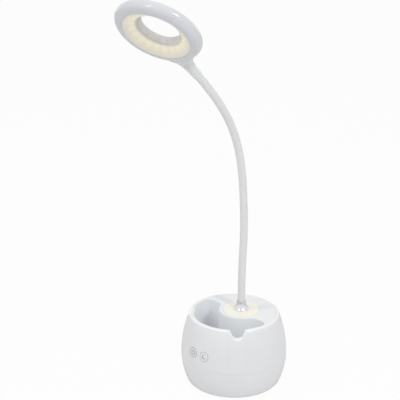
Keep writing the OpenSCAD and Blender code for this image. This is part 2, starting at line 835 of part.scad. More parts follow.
// The diffuser: a cone from the lip in to the lined hole, with a rim that clips behind the lip
module ring_diffuser() {
    inner_r = bore_r(light_top, 0);
    low = 0.3;
    rim_top = low + light_t + 0.6;
    color([0.95, 0.93, 0.84])
        at_ring()
            rotate_extrude()
                polygon([[light_r, low], [light_r, rim_top], [light_r - 1, rim_top],
                         [inner_r + 0.6, light_top], [inner_r, light_top],
                         [inner_r, light_top - light_t], [light_r - 0.8, low]]);
}

module led_board() {
    color([0.93, 0.94, 0.92])
        at_ring()
            tube(led_board_r, bore_r(led_board_y, collar_t) + fit, led_board_y, led_board_y + led_board_t);
}

module ring_leds() {
    color([0.98, 0.93, 0.65])
        at_ring()
            for (k = [0 : emitters - 1])
                rotate([0, 0, k * 360 / emitters])
                    translate([emitter_r - emitter[0] / 2, -emitter[1] / 2, led_board_y - emitter[2]])
                        cube(emitter);
}

module upper_ferrule() {
    color([0.72, 0.68, 0.55])
        at_station(lengths)
            tube(ferrule_r, core_r + bind, core_head - ferrule_len, core_head);
}

base_upper_shell();
base_lower_bowl();
foot_pad();
counterweight();
base_screws();
deck_and_cup();
night_light_diffuser();
night_light_board();
night_light_leds();
neck_collar();
neck_clamp_nut();
lower_ferrule();
battery_holder();
battery_cell();
main_board();
usb_socket();
touch_board();
touch_pads();
for (k = [1 : lengths]) {
    neck_core(k);
    neck_sleeve(k);
}
upper_ferrule();
head_housing();
head_inner_collar();
ring_diffuser();
led_board();
ring_leds();
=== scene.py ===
"""Looks of the desk lamp: a light ring on a flexible neck, standing in a round pen pot.

Shapes are worked out in millimetres and become metres when their mesh is made.
"""
import json
import math

import bmesh
import bpy
import numpy as np
from mathutils import Matrix, Vector


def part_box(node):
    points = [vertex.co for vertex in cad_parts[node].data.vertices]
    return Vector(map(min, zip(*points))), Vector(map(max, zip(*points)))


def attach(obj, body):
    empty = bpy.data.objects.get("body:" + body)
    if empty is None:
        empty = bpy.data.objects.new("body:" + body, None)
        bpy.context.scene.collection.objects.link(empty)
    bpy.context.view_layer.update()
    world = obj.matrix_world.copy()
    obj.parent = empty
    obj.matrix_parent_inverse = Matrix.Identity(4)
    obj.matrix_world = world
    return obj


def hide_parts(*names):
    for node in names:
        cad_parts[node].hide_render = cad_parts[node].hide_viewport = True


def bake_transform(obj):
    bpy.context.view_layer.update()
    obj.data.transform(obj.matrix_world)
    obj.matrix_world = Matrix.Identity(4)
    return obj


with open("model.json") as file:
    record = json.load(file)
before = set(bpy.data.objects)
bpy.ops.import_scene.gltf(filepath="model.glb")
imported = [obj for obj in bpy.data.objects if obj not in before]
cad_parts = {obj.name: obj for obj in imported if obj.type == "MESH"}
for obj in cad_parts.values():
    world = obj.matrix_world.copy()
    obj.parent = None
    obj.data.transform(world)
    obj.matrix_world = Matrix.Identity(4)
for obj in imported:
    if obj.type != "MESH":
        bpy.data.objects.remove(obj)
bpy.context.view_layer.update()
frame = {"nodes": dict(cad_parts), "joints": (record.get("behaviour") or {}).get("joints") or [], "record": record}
NODES = frame["nodes"]
MM = 0.001
WELD = 1e-3
CREASE = math.radians(35)


def box_mm(node):
    """Lowest and highest corner of a CAD node, in millimetres."""
    low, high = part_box(node)
    return low / MM, high / MM


# ---- sizes in the frame, in millimetres, and angles in degrees ----

# pot: the flank is one arc below the parting line and a flatter one above it
POT_R = 55.0
POT_H = box_mm("deck_and_cup")[1].z
SEAM_Z = 32.0
SEAM_GAP = 0.1
SEAM_EDGE = 0.12
LOW_CURVE = 70.0
HIGH_CURVE = 122.0
FOOT_ROUND = 5.0
RIM_ROUND = 2.0
RIM_LAND = 0.3
SHELL_WALL = 2.4
LAP_H = 2.5
PAD_R = 40.0
PAD_T = 1.6
PAD_PROUD = 0.8
BOWL_FLOOR = 2.0
FIT = 0.15
SLOT_SLACK = 0.3

# rim notches
NOTCH_R = 6.0
NOTCH_DEPTH = 8.8
NOTCH_SLOPE = 62.0
NOTCH_FLARE = 4.0
NOTCH_ANGLE = 50.0
FLARE_LIFT = 0.5
NOTCH_EDGE = 1.2
NOTCH_EASE = 3.0
NOTCH_CLEAR = 1.2
RIM_STEP = 3.0
BAND_Z = POT_H - NOTCH_DEPTH - SHELL_WALL
EVEN_Z = BAND_Z - 3

# deck and cup
CUP_WALL = 1.6
CUP_Z = POT_H - 56.5
CUP_FLOOR = 2.0
CUP_END_R = 6.0
CUP_SIDE_R = 10.0
DECK_T = 3.0
NECK_Y = 10.5
SHOULDER_Y = NECK_Y - 5.7
NIGHT_R = 19.0
NIGHT_T = 2.2
BUMP_R = NIGHT_R + 4.4
NIGHT_Z = POT_H - NIGHT_T + 0.2
WELL_R = NIGHT_R - 1.4
WELL_WALL_R = NIGHT_R + 1.5
WELL_Z = POT_H - 12.5
WELL_FLOOR = 2.0
SHANK_R = 5.0
EDGE_OUT = 0.3
EDGE_CUP = 0.9
CUP_FILLET = 3.0

# neck: LEAN is its forward lean at each joint, and SLEEVE_START a share of one length
SLEEVE_R = 4.0
SLEEVE_BORE_R = 3.05
LENGTH = 30.5
LEAN = (0, -1, -4, 1, 4, 9, 20, 32, 40, 44)
LENGTHS = len(LEAN) - 1
SLEEVE_IN = 4.9
CORE_IN = 18.5
SLEEVE_START = 0.01
SLEEVE_SIDES = 48
ROWS_PER_LENGTH = 24
RIGID_BENDS = (3, 5, 6, 8)
ELBOW_BORE_R = SLEEVE_BORE_R - 0.2
ELBOW_SINK = 0.01
ELBOW_LOW = -6
ELBOW_HIGH = 38
NECK_FOOT = Vector((0, NECK_Y, box_mm("neck_collar")[1].z - 5))

# ring head, drawn with its lip in the plane z = 0 and its stem along +X
RING_R = 42.2
HOLE_R = 19.2
RING_MID = 7.2
RING_LOW_R = 7.2
RING_TOP_R = 4.6
CROWN = math.radians(8)
BORE_SLOPE = math.radians(21)
LIP_W = 2.2
STEM_R = 4.9
STEM_REACH = 70.6
STEM_FLARE = 26.0
STEM_BLEND = 8.0
EDGE_BLEND = 0.3
TIP_BLEND = 0.5
HOLE_BLEND = 0.2
STEM_TAPER = 0.4
TAPER_RUN = 14.0
STEM_SINK = 2.0
SINK_RUN = 8.0
STEM_SPREAD = RING_R * (STEM_R + STEM_FLARE) / (RING_R + STEM_FLARE)
HEAD_ROLL = math.radians(14)
RING_WALL = 1.8
BORE_R = 3.25
LIGHT_TOP = 8.5
LIGHT_LOW = 0.3
COLLAR_T = 1.4
LOW_CENTRE_R = RING_R - RING_LOW_R
TOP_CENTRE_R = RING_R - RING_TOP_R
LIGHT_R = LOW_CENTRE_R - LIP_W
LINING_PLAY = 0.02
SKIN_STEP = 0.6
EMITTERS = 20
GLOW_R = 24.5
GLOW_LIGHT = 0.12
CONE_LIGHT = 0.07

# collar
COLLAR_H = 9.3
COLLAR_FOOT_H = 0.8
COLLAR_FOOT_R = 7.8
COLLAR_TOP_R = 4.9

# touch symbols
TOUCH_Z = 46.5
TOUCH_RIGHT = 3.0
TOUCH_PITCH = 15.0
SIGN_R = 5.0
PRINT_SUNK = 0.05
PRINT_PROUD = 0.02

# camera, in millimetres and degrees, and the stage
CAMERA_FAR = 1300.0
CAMERA_ELEVATION = 25.24
CAMERA_PITCH = 20.115
CAMERA_YAW = 1.7287
AIM_Z = 76.2
LENS = 111.98
WORLD_LIGHT = 0.61
FLOOR_WHITE = 0.94
FLOOR_COLOUR = (0.85, 0.85, 0.85, 1)

# finishes: where noise mostly lies, and the gloss of the pot's two shells
NOISE_RANGE = (0.3, 0.7)
SHELL_ROUGH = 0.24
SHELL_COAT = {"Coat_Weight": 0.25, "Coat_Roughness": 0.08}


# ---- mesh helpers ----

def grid(rows, loop_columns=False, loop_rows=False):
    """Points and quads of a grid, given as rows of points."""
    n_rows, n_columns = len(rows), len(rows[0])
    faces = []
    for i in range(n_rows if loop_rows else n_rows - 1):
        for j in range(n_columns if loop_columns else n_columns - 1):
            a, b = i * n_columns, (i + 1) % n_rows * n_columns
            c, d = j, (j + 1) % n_columns
            faces.append((a + c, a + d, b + d, b + c))
    return [p for row in rows for p in row], faces


def flat(*loops):
    """Fills the plane between closed loops of points: the first is the outside, the rest are holes."""
    bm = bmesh.new()
    edges = []
    for loop in loops:
        verts = [bm.verts.new(p) for p in loop]
        edges += [bm.edges.new((verts[i - 1], verts[i])) for i in range(len(verts))]
    bmesh.ops.triangle_fill(bm, use_beauty=True, edges=edges)
    bm.verts.index_update()
    patch = [v.co.copy() for v in bm.verts], [[v.index for v in f.verts] for f in bm.faces]
    bm.free()
    return patch


def rings(profile, segments, centre=(0, 0)):
    """One ring of points for each (radius, height) point of a profile, about an upright axis."""
    turns = [2 * math.pi * k / segments for k in range(segments)]
    return [[(centre[0] + r * math.cos(a), centre[1] + r * math.sin(a), z) for a in turns]
            for r, z in profile]


def revolve(profile, segments=180, centre=(0, 0)):
    """A closed profile of (radius, height) points, turned about an upright axis."""
    return grid(rings(profile, segments, centre), loop_columns=True, loop_rows=True)


def arc(centre, radius, start, end, steps):
    """Points on a circle from one angle to another, in degrees, both ends included."""
    return [(centre[0] + radius * math.cos(math.radians(a)),
             centre[1] + radius * math.sin(math.radians(a)))
            for a in np.linspace(start, end, steps + 1)]


def ease(share):
    """Goes smoothly from 0 to 1 with a share, and stays level outside that range."""
    share = np.clip(share, 0, 1)
    return share * share * (3 - 2 * share)


def make_mesh(name, patches, matrix=None):
    """One welded mesh, in metres, from patches of points in millimetres, moved by a matrix."""
    bm = bmesh.new()
    for points, faces in patches:
        verts = [bm.verts.new(Vector(p) * MM) for p in points]
        for face in faces:
            bm.faces.new([verts[i] for i in face])
    bmesh.ops.remove_doubles(bm, verts=bm.verts, dist=WELD * MM)
    bmesh.ops.recalc_face_normals(bm, faces=bm.faces)
    mesh = bpy.data.meshes.new(name)
    bm.to_mesh(mesh)
    bm.free()
    smooth(mesh)
    if matrix is not None:
        mesh.transform(matrix)
    return mesh


def smooth(mesh):
    """Smooth shading, apart from edges that turn by more than the crease angle."""
    mesh.shade_smooth()
    mesh.set_sharp_from_angle(angle=CREASE)


def add_object(name, data, material=None):
    """An object in the scene that carries a mesh, a lamp or a camera."""
    obj = bpy.data.objects.new(name, data)
    bpy.context.scene.collection.objects.link(obj)
    if material:
        data.materials.append(material)
    return obj


def add_piece(name, patches, slot, body, replaces=(), matrix=None, material=None):
    """A rigid piece that rides on a body and takes its finish from a slot of the record."""
    piece = add_object(name, make_mesh(name, patches, matrix), material or MATERIALS[slot])
    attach(piece, body)
    if replaces:
        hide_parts(*replaces)
    return piece


def cut(piece, patches, matrix=None):
    """Takes the volume inside the patches out of a piece's mesh."""
    cutter = add_object("cutter", make_mesh("cutter", patches, matrix), piece.data.materials[0])
    modifier = piece.modifiers.new("cut", "BOOLEAN")
    modifier.object = cutter
    modifier.operation = "DIFFERENCE"
    modifier.solver = "EXACT"
    bpy.context.view_layer.update()
    evaluated = piece.evaluated_get(bpy.context.evaluated_depsgraph_get())
    piece.data = bpy.data.meshes.new_from_object(evaluated)
    piece.modifiers.clear()
    bpy.data.objects.remove(cutter)
    smooth(piece.data)


# ---- materials ----

def new_material(name):
    """A material with its node tree and its shader."""
    material = bpy.data.materials.new(name)
    material.use_nodes = True
    tree = material.node_tree
    return material, tree, tree.nodes["Principled BSDF"]


def feed(node, **inputs):
    """Sets or links a node's inputs, named with underscores in place of spaces."""
    for name, value in inputs.items():
        socket = node.inputs[name.replace("_", " ")]
        if isinstance(value, bpy.types.NodeSocket):
            node.id_data.links.new(value, socket)
        else:
            socket.default_value = value


def own_place(tree):
    """The object's own coordinates, in metres, as a vector."""
    return tree.nodes.new("ShaderNodeTexCoord").outputs["Object"]


def axes_of(tree, vector):
    """The three coordinates of a vector."""
    split = tree.nodes.new("ShaderNodeSeparateXYZ")
    feed(split, Vector=vector)
    return [split.outputs[axis] for axis in "XYZ"]


def maths(tree, operation, a, b=0.0):
    """One step of arithmetic on two sockets or numbers."""
    node = tree.nodes.new("ShaderNodeMath")
    node.operation = operation
    for socket, value in zip(node.inputs, (a, b)):
        if isinstance(value, (int, float)):
            socket.default_value = value
        else:
            tree.links.new(value, socket)
    return node.outputs["Value"]


def scaled(tree, value, factor, offset):
    """A value times a factor, plus an offset."""
    return maths(tree, "ADD", maths(tree, "MULTIPLY", value, factor), offset)


def radius_of(tree, x, y):
    """Distance from an axis, from the two coordinates across it."""
    squares = maths(tree, "ADD", maths(tree, "MULTIPLY", x, x), maths(tree, "MULTIPLY", y, y))
    return maths(tree, "SQRT", squares)


def remap(tree, value, source, target, interpolation="LINEAR"):
    """Maps one range of values to another."""
    node = tree.nodes.new("ShaderNodeMapRange")
    node.interpolation_type = interpolation
    feed(node, Value=value, From_Min=source[0], From_Max=source[1], To_Min=target[0],
         To_Max=target[1])
    return node.outputs["Result"]


def step_between(tree, value, start, end):
    """Rises smoothly from 0 to 1 as a value goes from start to end, in millimetres."""
    return remap(tree, value, (start * MM, end * MM), (0, 1), "SMOOTHSTEP")


def noise(tree, scale, detail, stretch=(1, 1, 1)):
    """Noise in the object's own coordinates; scale counts its features per metre."""
    mapping = tree.nodes.new("ShaderNodeMapping")
    feed(mapping, Vector=own_place(tree), Scale=stretch)
    texture = tree.nodes.new("ShaderNodeTexNoise")
    feed(texture, Vector=mapping.outputs["Vector"], Scale=scale, Detail=detail)
    return texture.outputs["Fac"]


def ramp(tree, value, low, high):
    """Colour ramp between (place, colour) pairs."""
    node = tree.nodes.new("ShaderNodeValToRGB")
    for element, (place, colour) in zip(node.color_ramp.elements, (low, high)):
        element.position = place
        element.color = (*colour, 1)
    feed(node, Fac=value)
    return node.outputs["Color"]


def mix(tree, share, a, b):
    """Mixes two colours, each a socket or a plain colour."""
    node = tree.nodes.new("ShaderNodeMix")
    node.data_type = "RGBA"
    feed(node, Factor=share)
    for socket, colour in zip(node.inputs[6:8], (a, b)):
        if isinstance(colour, tuple):
            socket.default_value = (*colour, 1)
        else:
            tree.links.new(colour, socket)
    return node.outputs[2]


def drifting(tree, colour, fade=0.02):
    """A colour that fades a little, slowly over the surface."""
    dark = tuple(c * (1 - fade) for c in colour)
    return ramp(tree, noise(tree, 28, 2), (0.35, dark), (0.65, colour))


def bump(tree, shader, height, depth):
    """Relief on a surface, its depth in metres."""
    node = tree.nodes.new("ShaderNodeBump")
    feed(node, Height=height, Distance=depth)
    feed(shader, Normal=node.outputs["Normal"])


def finish(tree, shader, colour, low, high, grain=900, relief=4e-6, haze=160):
    """Gives a surface its colour, the range of its roughness and a fine grain."""
    gloss = remap(tree, noise(tree, haze, 4), NOISE_RANGE, (low, high))
    feed(shader, Base_Color=colour, Roughness=gloss)
    bump(tree, shader, noise(tree, grain, 2), relief)


def moulded(name, colour, roughness, grain=900, relief=4e-6, drift=0.02, **sockets):
    """A moulded or cast surface: fine grain, a slow drift of its colour and of its gloss."""
    material, tree, shader = new_material(name)
    finish(tree, shader, drifting(tree, colour, drift), 0.9 * roughness, 1.1 * roughness,
           grain, relief)
    feed(shader, **sockets)
    return material


def wound_steel(name):
    """Spiral-wound steel: turns across the length, seen only where the sleeve is off."""
    material, tree, shader = new_material(name)
    turns = noise(tree, 60, 1, (0.2, 0.2, 12))
    colour = ramp(tree, turns, (0.4, (0.38, 0.38, 0.40)), (0.6, (0.58, 0.58, 0.60)))
    feed(shader, Base_Color=colour, Metallic=1, Roughness=0.35)
    bump(tree, shader, turns, 5e-5)
    return material


def plated(name, colour, roughness):
    """Polished plating with faint polishing haze."""
    material, tree, shader = new_material(name)
    tint = ramp(tree, noise(tree, 220, 3), (0.3, tuple(0.94 * c for c in colour)), (0.7, colour))
    finish(tree, shader, tint, 0.7 * roughness, 1.3 * roughness, 1200, 1e-6, haze=400)
    feed(shader, Metallic=1)
    return material


def shell_with_painted_rim_highlight(name, colour, rim):
    """The shell's glossy moulding, with a painted highlight: paler where the rim and the notches are rounded over.
    """
    material, tree, shader = new_material(name)
    x, y, z = axes_of(tree, own_place(tree))
    rise = maths(tree, "SUBTRACT", z, SEAM_Z * MM)
    span = maths(tree, "SUBTRACT", (HIGH_CURVE * MM) ** 2, maths(tree, "MULTIPLY", rise, rise))
    flank = maths(tree, "ADD", maths(tree, "SQRT", span), (POT_R - HIGH_CURVE) * MM)
    depth = maths(tree, "SUBTRACT", flank, radius_of(tree, x, y))
    # painted highlight: the paler rim colour takes over where the surface draws in from the flank
    tint = mix(tree, step_between(tree, depth, 0.02, 0.7), drifting(tree, colour), rim)
    finish(tree, shader, tint, 0.9 * SHELL_ROUGH, 1.1 * SHELL_ROUGH)
    feed(shader, **SHELL_COAT)
    return material


def deck_with_painted_glow(name, colour, lift):
    """The deck's moulding, with painted light: a faint glow on the cup's upper walls and on the rounded edges,
    standing in for fill light and for the rim's highlight.
    """
    material = moulded(name, colour, 0.34)
    tree = material.node_tree
    shader = tree.nodes["Principled BSDF"]
    z = axes_of(tree, own_place(tree))[2]
    # painted glow at the strength lift: strongest just under the top, fading deeper in the cup, kept off the flat
    # top
    high = step_between(tree, z, POT_H - 40, POT_H - 5)
    below_top = step_between(tree, z, POT_H - 0.05, POT_H - 0.6)
    light = maths(tree, "MULTIPLY", maths(tree, "MULTIPLY", high, below_top), lift)
    feed(shader, Emission_Color=(0.94, 0.97, 1, 1), Emission_Strength=light)
    return material


def in_ring(tree):
    """Coordinates in the ring's own frame: x along the stem, z towards the back."""
    matrix = ring_matrix()
    mapping = tree.nodes.new("ShaderNodeMapping")
    mapping.vector_type = "TEXTURE"
    feed(mapping, Vector=own_place(tree), Location=matrix.translation,
         Rotation=matrix.to_euler())
    return axes_of(tree, mapping.outputs["Vector"])


def head_with_painted_stem_light(name, ring, stem):
    """The head's glossy moulding, with painted light: paler along the stem."""
    material, tree, shader = new_material(name)
    along = in_ring(tree)[0]
    # painted light: the stem colour is paler than the ring's
    share = step_between(tree, along, RING_R + 3, STEM_REACH - 6)
    finish(tree, shader, mix(tree, share, drifting(tree, ring), stem), 0.18, 0.22)
    feed(shader, Coat_Weight=0.6, Coat_Roughness=0.04)
    return material


def lit_cone(name, cream, glow, edge):
    """The ring's diffuser: cream, with a soft glow and faint rays over each of its emitters, and painted shade at
    its inner edge.
    """
    material, tree, shader = new_material(name)
    x, y, _ = in_ring(tree)
    radius = radius_of(tree, x, y)
    turn = maths(tree, "MULTIPLY", maths(tree, "ARCTAN2", y, x), EMITTERS)
    wave = scaled(tree, maths(tree, "COSINE", turn), 0.5, 0.5)
    ray = scaled(tree, wave, 0.55, 0.45)
    share = maths(tree, "MULTIPLY", step_between(tree, radius, LIGHT_R - 1, GLOW_R), ray)
    # painted shade: towards the inner edge the cone takes the lining's grey-beige and stops glowing
    inner_r = bore_r(LIGHT_TOP)
    inside = step_between(tree, radius, inner_r - 0.5, inner_r + 2.8)
    colour = mix(tree, inside, edge, ramp(tree, share, (0.0, cream), (0.8, glow)))
    light = maths(tree, "MULTIPLY", scaled(tree, share, GLOW_LIGHT, CONE_LIGHT), inside)
    feed(shader, Base_Color=colour, Roughness=0.38, Emission_Color=colour,
         Emission_Strength=light)
    bump(tree, shader, noise(tree, 900, 2), 4e-6)
    return material


def lining(name, low, high):
    """The hole's lining, with painted light: warmer and paler next to the diffuser that lights it."""
    material, tree, shader = new_material(name)
    depth = in_ring(tree)[2]
    # painted light from the diffuser: the colour low, paler and warmer, is used next to it
    share = step_between(tree, depth, LIGHT_TOP - 0.5, LIGHT_TOP + 3)
    finish(tree, shader, mix(tree, share, low, high), 0.25, 0.31)
    return material


# ---- pot ----

def flank_r(z, inset=0.0):
    """Radius of the pot's flank at a height, or of a surface parallel to it and inset from it."""
    curve = LOW_CURVE if z < SEAM_Z else HIGH_CURVE
    return POT_R - curve + math.sqrt((curve - inset) ** 2 - (z - SEAM_Z) ** 2)


OPENING_R = flank_r(POT_H) - RIM_ROUND - RIM_LAND
INSERT_R = OPENING_R - FIT
CUP_R = INSERT_R - CUP_WALL
END_Y = SHOULDER_Y - CUP_END_R
END_X = math.sqrt((CUP_R - CUP_END_R) ** 2 - END_Y ** 2)
SIDE_Y = SHOULDER_Y - CUP_SIDE_R
SIDE_X = math.sqrt((BUMP_R + CUP_SIDE_R) ** 2 - (NECK_Y - SIDE_Y) ** 2)
CUP_END_ANGLE = 90 + math.degrees(math.atan2(END_Y, END_X))


def notch_outline():
    """Half outline of a notch, from its middle out: across, height, and the normal into the wall."""
    bottom_z = POT_H - NOTCH_DEPTH + NOTCH_R
    flare_z = POT_H - NOTCH_FLARE + FLARE_LIFT
    slope = math.radians(NOTCH_SLOPE)
    into = math.sin(slope), -math.cos(slope)
    low_t, low_z = NOTCH_R * into[0], bottom_z + NOTCH_R * into[1]
    high_z = flare_z - NOTCH_FLARE * into[1]
    high_t = low_t + (high_z - low_z) / math.tan(slope)
    flare_t = high_t + NOTCH_FLARE * into[0]
    top = 180 - math.degrees(math.asin((NOTCH_FLARE - FLARE_LIFT) / NOTCH_FLARE))
    outline = []
    for a in np.radians(np.linspace(-90, NOTCH_SLOPE - 90, 11)):
        outline.append((NOTCH_R * math.cos(a), bottom_z + NOTCH_R * math.sin(a),
                        math.cos(a), math.sin(a)))
    for share in (1 / 3, 2 / 3):
        outline.append((low_t + (high_t - low_t) * share, low_z + (high_z - low_z) * share, *into))
    for a in np.radians(np.linspace(90 + NOTCH_SLOPE, top, 9)):
        outline.append((flare_t + NOTCH_FLARE * math.cos(a), flare_z + NOTCH_FLARE * math.sin(a),
                        -math.cos(a), -math.sin(a)))
    t, z, n_t, n_z = outline[-1]
    length = math.hypot(n_t, n_z - 1)
    outline[-1] = (t, z, n_t / length, (n_z - 1) / length)
    return outline


def rim_columns():
    """Places round the rim: angle from the front, offset across it, height, normal into the wall."""
    outline = notch_outline()
    clear = math.degrees(math.asin(outline[-1][0] / CUP_R)) + NOTCH_CLEAR
    angles = [a for a in np.arange(-180, 180, RIM_STEP) if abs(abs(a) - NOTCH_ANGLE) > clear]
    angles += [-CUP_END_ANGLE, CUP_END_ANGLE]
    columns = [(a, 0.0, POT_H, 0.0, -1.0) for a in angles]
    for side in (-1, 1):
        columns += [(side * NOTCH_ANGLE, t, z, n_t, n_z) for t, z, n_t, n_z in outline]
        columns += [(side * NOTCH_ANGLE, -t, z, -n_t, n_z) for t, z, n_t, n_z in outline[1:]]
    return sorted(columns, key=lambda c: c[0] + math.degrees(math.asin(c[1] / CUP_R)))


def on_column(column, radius, drop, z=None):
    """A point at a radius, dropped into the wall from the rim's outline, or at its own height."""
    angle, across, top, n_t, n_z = column
    a = math.radians(angle) + math.asin((across + n_t * drop) / radius)
    height = top + n_z * drop if z is None else z
    return (radius * math.sin(a), -radius * math.cos(a), height)


def round_over(radius, steps, outward=False):
    """Inset and drop of the points that round an edge, from its flat top to its side."""
    turns = np.radians(np.linspace(0, 90, steps + 1))
    points = [(radius * (1 - math.sin(a)), radius * (1 - math.cos(a))) for a in turns]
    return points[::-1] if outward else points


def upper_shell_rows(column):
    """The shell's section at one column: up the outside, over the rim, down the inside."""
    top, n_z = column[2], column[4]
    edge = RIM_ROUND + (NOTCH_EDGE - RIM_ROUND) * ease((POT_H - top) / NOTCH_EASE)
    low_z, lap_z = SEAM_Z + SEAM_GAP / 2, SEAM_Z + LAP_H
    points = [on_column(column, flank_r(low_z) - SEAM_EDGE, edge, low_z)]
    heights = list(np.linspace(low_z + SEAM_EDGE, EVEN_Z, 12))
    heights += list(np.linspace(EVEN_Z, top + n_z * edge, 6))[1:-1]
    points += [on_column(column, flank_r(z), edge, z) for z in heights]
    for inset, drop in round_over(edge, 7, outward=True):
        side_r = flank_r(min(top + n_z * drop, POT_H))
        points.append(on_column(column, side_r - inset, drop))
    for inset, drop in round_over(EDGE_OUT, 3):
        points.append(on_column(column, OPENING_R + inset, drop))
    for z in np.linspace(top + n_z * EDGE_OUT, BAND_Z, 4)[1:]:
        points.append(on_column(column, OPENING_R, EDGE_OUT, z))
    for z in np.linspace(BAND_Z, lap_z, 8):
        points.append(on_column(column, flank_r(z, SHELL_WALL), EDGE_OUT, z))
    for z in (lap_z, low_z):
        points.append(on_column(column, flank_r(z, (SHELL_WALL - FIT) / 2), EDGE_OUT, z))
    return points


def upper_shell():
    """The shell above the parting line, with its two flared notches."""
    rows = list(zip(*[upper_shell_rows(c) for c in rim_columns()]))
    add_piece("upper_shell", [grid(rows, True, True)], "shell", "pot", ["base_upper_shell"])


def bowl_profile():
    """The bowl's section: down the outside, round the foot, under the floor and up the inside."""
    top = SEAM_Z - SEAM_GAP / 2
    foot_z = PAD_PROUD + FOOT_ROUND
    foot_x = POT_R - LOW_CURVE + math.sqrt((LOW_CURVE - FOOT_ROUND) ** 2 - (SEAM_Z - foot_z) ** 2)
    tangent = math.asin((SEAM_Z - foot_z) / (LOW_CURVE - FOOT_ROUND))
    side_end = foot_z - FOOT_ROUND * math.sin(tangent)
    lap_z = SEAM_Z + LAP_H - FIT
    lap_inset = (SHELL_WALL + FIT) / 2
    floor_z = PAD_T + BOWL_FLOOR
    pad_r = PAD_R + FIT
    profile = [(flank_r(top) - SEAM_EDGE, top)]
    profile += [(flank_r(z), z) for z in np.linspace(top - SEAM_EDGE, side_end, 22)[:-1]]
    profile += arc((foot_x, foot_z), FOOT_ROUND, -math.degrees(tangent), -90, 8)
    profile += [(pad_r, PAD_PROUD), (pad_r, PAD_T), (0, PAD_T), (0, floor_z)]
    profile += [(flank_r(z, SHELL_WALL), z) for z in np.linspace(floor_z, top, 12)]
    profile += [(flank_r(lap_z, SHELL_WALL), lap_z), (flank_r(lap_z, lap_inset), lap_z),
                (flank_r(top, lap_inset), top)]
    return profile


def charging_slot():
    """The socket's rounded outline with some slack, drawn out through the back of the bowl."""
    low, high = box_mm("usb_socket")
    half_h = (high.z - low.z) / 2 + SLOT_SLACK
    half_w = (high.x - low.x) / 2 + SLOT_SLACK
    z = (high.z + low.z) / 2
    outline = arc((half_w - half_h, z), half_h, -90, 90, 12)
    outline += arc((half_h - half_w, z), half_h, 90, 270, 12)
    ends = [[(x, y, h) for x, h in outline] for y in (low.y, POT_R + 1)]
    return [grid(ends, True), flat(ends[0]), flat(ends[1])]


def lower_bowl():
    """The bowl below the parting line, with the slot for the charging socket at its back."""
    bowl = add_piece("lower_bowl", [revolve(bowl_profile())], "bowl", "pot", ["base_lower_bowl"])
    cut(bowl, charging_slot())


# ---- deck with the pen cup ----

def cup_rest(grow):
    """The cup's outline without its front wall, from the left end round the neck to the right end."""
    half = arc((END_X, END_Y), CUP_END_R + grow, math.degrees(math.atan2(END_Y, END_X)), 90, 8)
    half += [(x, SHOULDER_Y + grow) for x in np.linspace(END_X, SIDE_X, 4)[1:-1]]
    meet = math.degrees(math.atan2(NECK_Y - SIDE_Y, -SIDE_X))
    half += arc((SIDE_X, SIDE_Y), CUP_SIDE_R + grow, 90, meet, 6)
    start = math.degrees(math.atan2(SIDE_Y - NECK_Y, SIDE_X))
    half += arc((0, NECK_Y), BUMP_R - grow, start, -90, 14)[1:]
    return half + [(-x, y) for x, y in half[-2::-1]]


def cup_loop(columns, grow, drop, z=None):
    """The cup's closed outline: the front wall follows the rim's columns, the rest is level."""
    level = POT_H - drop if z is None else z
    front = [on_column(c, CUP_R + grow, drop, z) for c in columns]
    rest = [(x, y, level) for x, y in cup_rest(grow)]
    return front + rest[1:-1]


def cup_inside(front):
    """Loops down the inside of the cup, from its rounded edge to its filleted floor."""
    loops = [cup_loop(front, inset, drop) for inset, drop in round_over(EDGE_CUP, 5)]
    level = cup_loop(front, 0, EDGE_CUP, EVEN_Z)
    tops = [p[2] for p in loops[-1]]
    for share in (0.25, 0.5, 0.75, 1):
        loops.append([(x, y, z + (EVEN_Z - z) * share) for (x, y, _), z in zip(level, tops)])
    for z in np.linspace(EVEN_Z, CUP_Z + CUP_FILLET, 6)[1:]:
        loops.append(cup_loop(front, 0, EDGE_CUP, z))
    for above, inset in round_over(CUP_FILLET, 5)[1:]:
        loops.append(cup_loop(front, -inset, EDGE_CUP, CUP_Z + above))
    return loops


def wall_down(points, low_z):
    """Rows of points that go straight down from a line to a level."""
    return [[(x, y, z + (low_z - z) * share) for x, y, z in points] for share in (0, 0.2, 0.5, 1)]


def light_well():
    """Rings of points of the round well under the cream disc: down inside it and up outside."""
    disc_r, bore_edge_r = NIGHT_R + FIT, SHANK_R + FIT
    profile = [(disc_r + EDGE_OUT, POT_H), (disc_r, POT_H - EDGE_OUT), (disc_r, NIGHT_Z),
               (WELL_R, NIGHT_Z), (WELL_R, WELL_Z), (bore_edge_r, WELL_Z),
               (bore_edge_r, WELL_Z - WELL_FLOOR), (WELL_WALL_R, WELL_Z - WELL_FLOOR),
               (WELL_WALL_R, POT_H - DECK_T)]
    return rings(profile, 96, (0, NECK_Y))


